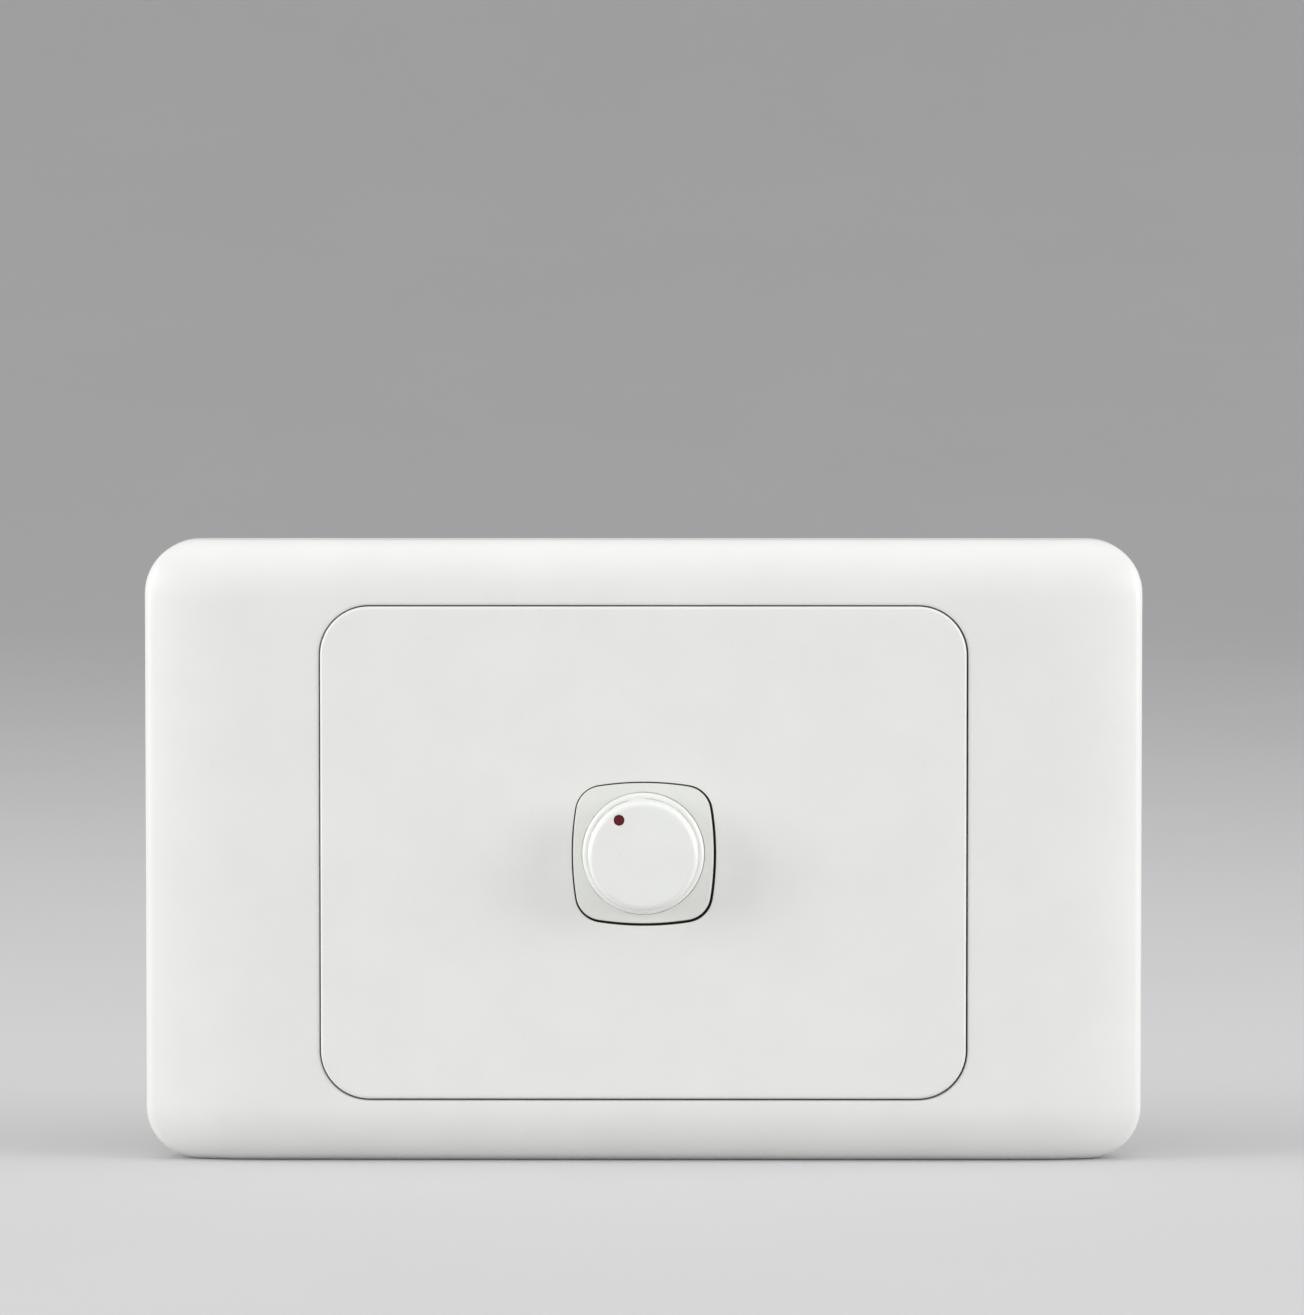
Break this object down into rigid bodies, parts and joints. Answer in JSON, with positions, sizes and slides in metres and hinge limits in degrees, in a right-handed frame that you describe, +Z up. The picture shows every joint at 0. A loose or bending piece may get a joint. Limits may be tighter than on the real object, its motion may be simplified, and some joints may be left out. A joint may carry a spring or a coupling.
{
  "type": "rotary dimmer switch",
  "caption": "Flush wall dimmer: crowned clip-on cover, raised panel, push-and-turn knob with a dot, deep module behind.",
  "frame": {"origin": "on the wall face, at the middle between the two wall screws and on the knob's axis", "axes": "the front looks along -Y, +Y goes into the wall, +X is to the right seen from the front, +Z is up"},
  "size_m": [0.116, 0.0368, 0.0724],
  "materials": {
    "surround": "satin",
    "grid_plate": "satin",
    "fixing_screws": "satin",
    "module_bezel": "satin",
    "module_case": "matte",
    "case_screws": "satin",
    "knob": "satin",
    "indicator_dot": "satin",
    "knob_clip": "polished",
    "pot_shaft": "matte",
    "pot_bushing": "satin",
    "pot_washer": "satin",
    "pot_nut": "satin",
    "pot_can": "satin",
    "track_wafer": "matte",
    "pot_terminals": "satin",
    "wiper_rotor": "matte",
    "wiper_brush": "polished",
    "switch_case": "matte",
    "fixed_contacts": "satin",
    "switch_plunger": "matte",
    "moving_contact": "polished",
    "return_spring": "polished",
    "circuit_board": "matte",
    "heat_sink": "satin",
    "triac": "matte",
    "triac_screw": "satin",
    "choke_core": "matte",
    "choke_winding": "satin",
    "film_capacitor": "satin",
    "timing_capacitor": "satin",
    "fuse": "polished",
    "diac": "satin",
    "resistors": "satin",
    "terminal_screws": "satin",
    "terminal_line": "satin",
    "terminal_loop": "satin",
    "terminal_load": "satin"
  },
  "bodies": {
    "plate": {"surround": "surround", "grid_plate": "grid_plate", "fixing_screws": "fixing_screws", "module_bezel": "module_bezel", "module_case": "module_case", "case_screws": "case_screws", "pot_bushing": "pot_bushing", "pot_washer": "pot_washer", "pot_nut": "pot_nut", "pot_can": "pot_can", "track_wafer": "track_wafer", "pot_terminals": "pot_terminals", "switch_case": "switch_case", "fixed_contacts": "fixed_contacts", "return_spring": "return_spring", "circuit_board": "circuit_board", "heat_sink": "heat_sink", "triac": "triac", "triac_screw": "triac_screw", "choke_core": "choke_core", "choke_winding": "choke_winding", "film_capacitor": "film_capacitor", "timing_capacitor": "timing_capacitor", "fuse": "fuse", "diac": "diac", "resistors": "resistors", "terminal_screws": "terminal_screws", "terminal_line": "terminal_line", "terminal_loop": "terminal_loop", "terminal_load": "terminal_load"},
    "rotor": {"wiper_rotor": "wiper_rotor", "wiper_brush": "wiper_brush"},
    "knob": {"knob": "knob", "indicator_dot": "indicator_dot", "knob_clip": "knob_clip", "pot_shaft": "pot_shaft"},
    "plunger": {"switch_plunger": "switch_plunger", "moving_contact": "moving_contact"}
  },
  "joints": [
    {"name": "dial_turn", "type": "hinge", "parent": "plate", "child": "rotor", "pos_m": [0, 0, 0], "axis": [0, -1, 0], "range_deg": [-183.6, 116.4]},
    {"name": "knob_push", "type": "slide", "parent": "rotor", "child": "knob", "axis": [0, 1, 0], "range_m": [0, 0.0015], "stiffness_N_per_m": 1500, "springref_m": -0.001},
    {"name": "plunger_slide", "type": "slide", "parent": "plate", "child": "plunger", "axis": [0, 1, 0], "range_m": [0, 0.0015], "deforming": ["return_spring"]}
  ],
  "couplings": [
    {"joint": "plunger_slide", "follows": "knob_push", "ratio": 1}
  ]
}
